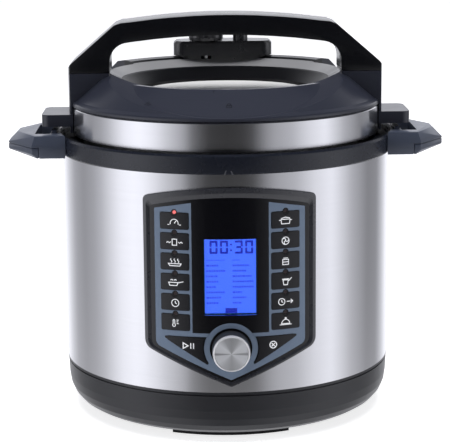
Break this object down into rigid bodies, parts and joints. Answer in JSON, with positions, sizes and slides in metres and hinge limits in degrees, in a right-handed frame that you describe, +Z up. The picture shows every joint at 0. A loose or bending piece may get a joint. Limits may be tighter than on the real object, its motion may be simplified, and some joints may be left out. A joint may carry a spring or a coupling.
{
  "type": "electric pressure cooker",
  "caption": "Round countertop pressure cooker: steel shell, black base and handles, curved keypad with display and knob, lift-off turning lid with arched handle, removable pot.",
  "frame": {"origin": "on the floor under the cooker's axis, at the bottom of the feet", "axes": "+Z up along the cooker's axis, -Y towards the control panel, +X to the right as seen from the front"},
  "size_m": [0.332, 0.2884, 0.3008],
  "materials": {
    "black_plastic": "satin black moulded plastic",
    "dark_plastic": "satin blue-black moulded plastic",
    "black_rubber": "black rubber",
    "bright_steel": "bright stainless steel",
    "brushed_steel": "stainless steel brushed round its axis",
    "cast_aluminium": "cast and turned aluminium",
    "panel_gloss": "glossy black panel with grey-blue printed frames",
    "key_plastic": "glossy black key",
    "display_blue": "lit blue display",
    "board_green": "green circuit board",
    "light_red": "red indicator light",
    "knob_metal": "bright turned metal",
    "knob_spun": "spun aluminium face",
    "clear_plastic": "clear plastic",
    "silicone": "translucent white silicone",
    "float_red": "red plastic"
  },
  "bodies": {
    "cooker": {"base_housing": "black_plastic", "base_plate": "black_plastic", "rubber_feet": "black_rubber", "base_screws": "bright_steel", "power_inlet": "black_rubber", "power_board": "board_green", "outer_shell": "brushed_steel", "top_ring": "dark_plastic", "side_handle_left": "dark_plastic", "side_handle_right": "dark_plastic", "handle_cover_left": "dark_plastic", "handle_cover_right": "dark_plastic", "handle_screws": "bright_steel", "outer_pot": "bright_steel", "heating_plate": "cast_aluminium", "heating_element": "bright_steel", "sensor_bracket": "bright_steel", "pressure_switch": "black_plastic", "sensor_spring": "bright_steel", "control_bezel": "black_plastic", "panel_overlay": "panel_gloss", "display_window": "display_blue", "display_module": "display_blue", "display_board": "board_green", "key_boards": "board_green", "indicator_lights": "light_red", "rotary_encoder": "bright_steel", "cup_bracket": "black_plastic"},
    "inner_pot": {"inner_pot": "bright_steel"},
    "sealing_ring": {"sealing_ring": "silicone"},
    "lid": {"steel_lid": "brushed_steel", "gasket_rack": "bright_steel", "lid_cover": "black_plastic", "lid_handle": "black_plastic", "handle_underside": "dark_plastic", "lid_screws": "bright_steel", "valve_housing": "black_plastic", "steam_pipe": "bright_steel", "anti_block_shield": "bright_steel"},
    "steam_valve": {"steam_valve_knob": "black_plastic"},
    "float_valve": {"float_pin": "float_red"},
    "lock_plate": {"float_lock_plate": "bright_steel"},
    "knob": {"control_knob": "knob_metal", "knob_cap": "knob_spun"},
    "sensor": {"sensor_plunger": "cast_aluminium"},
    "condensation_cup": {"condensation_cup": "clear_plastic"},
    "key_1": {"key_1": "key_plastic"},
    "key_2": {"key_2": "key_plastic"},
    "key_3": {"key_3": "key_plastic"},
    "key_4": {"key_4": "key_plastic"},
    "key_5": {"key_5": "key_plastic"},
    "key_6": {"key_6": "key_plastic"},
    "key_7": {"key_7": "key_plastic"},
    "key_8": {"key_8": "key_plastic"},
    "key_9": {"key_9": "key_plastic"},
    "key_10": {"key_10": "key_plastic"},
    "key_11": {"key_11": "key_plastic"},
    "key_12": {"key_12": "key_plastic"},
    "start_key": {"start_key": "key_plastic"},
    "cancel_key": {"cancel_key": "key_plastic"}
  },
  "joints": [
    {"name": "pot_lift", "type": "slide", "parent": "cooker", "child": "inner_pot", "axis": [0, 0, 1], "range_m": [0, 0.17]},
    {"name": "lid_lift", "type": "slide", "parent": "inner_pot", "child": "sealing_ring", "axis": [0, 0, 1], "range_m": [0, 0.12]},
    {"name": "lid_turn", "type": "hinge", "parent": "sealing_ring", "child": "lid", "pos_m": [0, 0, 0.2119], "axis": [0, 0, 1], "range_deg": [0, 30]},
    {"name": "steam_valve_turn", "type": "hinge", "parent": "lid", "child": "steam_valve", "pos_m": [-0.0135, 0.091, 0.27], "axis": [0, 0, 1], "range_deg": [-40, 0]},
    {"name": "float_rise", "type": "slide", "parent": "lid", "child": "float_valve", "axis": [0, 0, 1], "range_m": [0, 0.004]},
    {"name": "lock_plate_slide", "type": "slide", "parent": "lid", "child": "lock_plate", "axis": [-1, 0, 0], "range_m": [0, 0.004], "stiffness_N_per_m": 60},
    {"name": "knob_spin", "type": "hinge", "parent": "cooker", "child": "knob", "pos_m": [0, -0.128, 0.0717], "axis": [0, -1, 0], "continuous": true},
    {"name": "sensor_press", "type": "slide", "parent": "cooker", "child": "sensor", "axis": [0, 0, -1], "range_m": [0, 0.003], "stiffness_N_per_m": 300, "springref_m": -0.002, "deforming": ["sensor_spring"]},
    {"name": "cup_slide", "type": "slide", "parent": "cooker", "child": "condensation_cup", "axis": [0, 1, 0], "range_m": [0, 0.024]},
    {"name": "key_1_press", "type": "slide", "parent": "cooker", "child": "key_1", "axis": [0.3114, 0.9503, 0], "range_m": [0, 0.0007], "stiffness_N_per_m": 900},
    {"name": "key_2_press", "type": "slide", "parent": "cooker", "child": "key_2", "axis": [0.3114, 0.9503, 0], "range_m": [0, 0.0007], "stiffness_N_per_m": 900},
    {"name": "key_3_press", "type": "slide", "parent": "cooker", "child": "key_3", "axis": [0.3114, 0.9503, 0], "range_m": [0, 0.0007], "stiffness_N_per_m": 900},
    {"name": "key_4_press", "type": "slide", "parent": "cooker", "child": "key_4", "axis": [0.3114, 0.9503, 0], "range_m": [0, 0.0007], "stiffness_N_per_m": 900},
    {"name": "key_5_press", "type": "slide", "parent": "cooker", "child": "key_5", "axis": [0.3114, 0.9503, 0], "range_m": [0, 0.0007], "stiffness_N_per_m": 900},
    {"name": "key_6_press", "type": "slide", "parent": "cooker", "child": "key_6", "axis": [0.3114, 0.9503, 0], "range_m": [0, 0.0007], "stiffness_N_per_m": 900},
    {"name": "key_7_press", "type": "slide", "parent": "cooker", "child": "key_7", "axis": [-0.3114, 0.9503, 0], "range_m": [0, 0.0007], "stiffness_N_per_m": 900},
    {"name": "key_8_press", "type": "slide", "parent": "cooker", "child": "key_8", "axis": [-0.3114, 0.9503, 0], "range_m": [0, 0.0007], "stiffness_N_per_m": 900},
    {"name": "key_9_press", "type": "slide", "parent": "cooker", "child": "key_9", "axis": [-0.3114, 0.9503, 0], "range_m": [0, 0.0007], "stiffness_N_per_m": 900},
    {"name": "key_10_press", "type": "slide", "parent": "cooker", "child": "key_10", "axis": [-0.3114, 0.9503, 0], "range_m": [0, 0.0007], "stiffness_N_per_m": 900},
    {"name": "key_11_press", "type": "slide", "parent": "cooker", "child": "key_11", "axis": [-0.3114, 0.9503, 0], "range_m": [0, 0.0007], "stiffness_N_per_m": 900},
    {"name": "key_12_press", "type": "slide", "parent": "cooker", "child": "key_12", "axis": [-0.3114, 0.9503, 0], "range_m": [0, 0.0007], "stiffness_N_per_m": 900},
    {"name": "start_key_press", "type": "slide", "parent": "cooker", "child": "start_key", "axis": [0.2615, 0.9652, 0], "range_m": [0, 0.0007], "stiffness_N_per_m": 900},
    {"name": "cancel_key_press", "type": "slide", "parent": "cooker", "child": "cancel_key", "axis": [-0.2615, 0.9652, 0], "range_m": [0, 0.0007], "stiffness_N_per_m": 900}
  ]
}
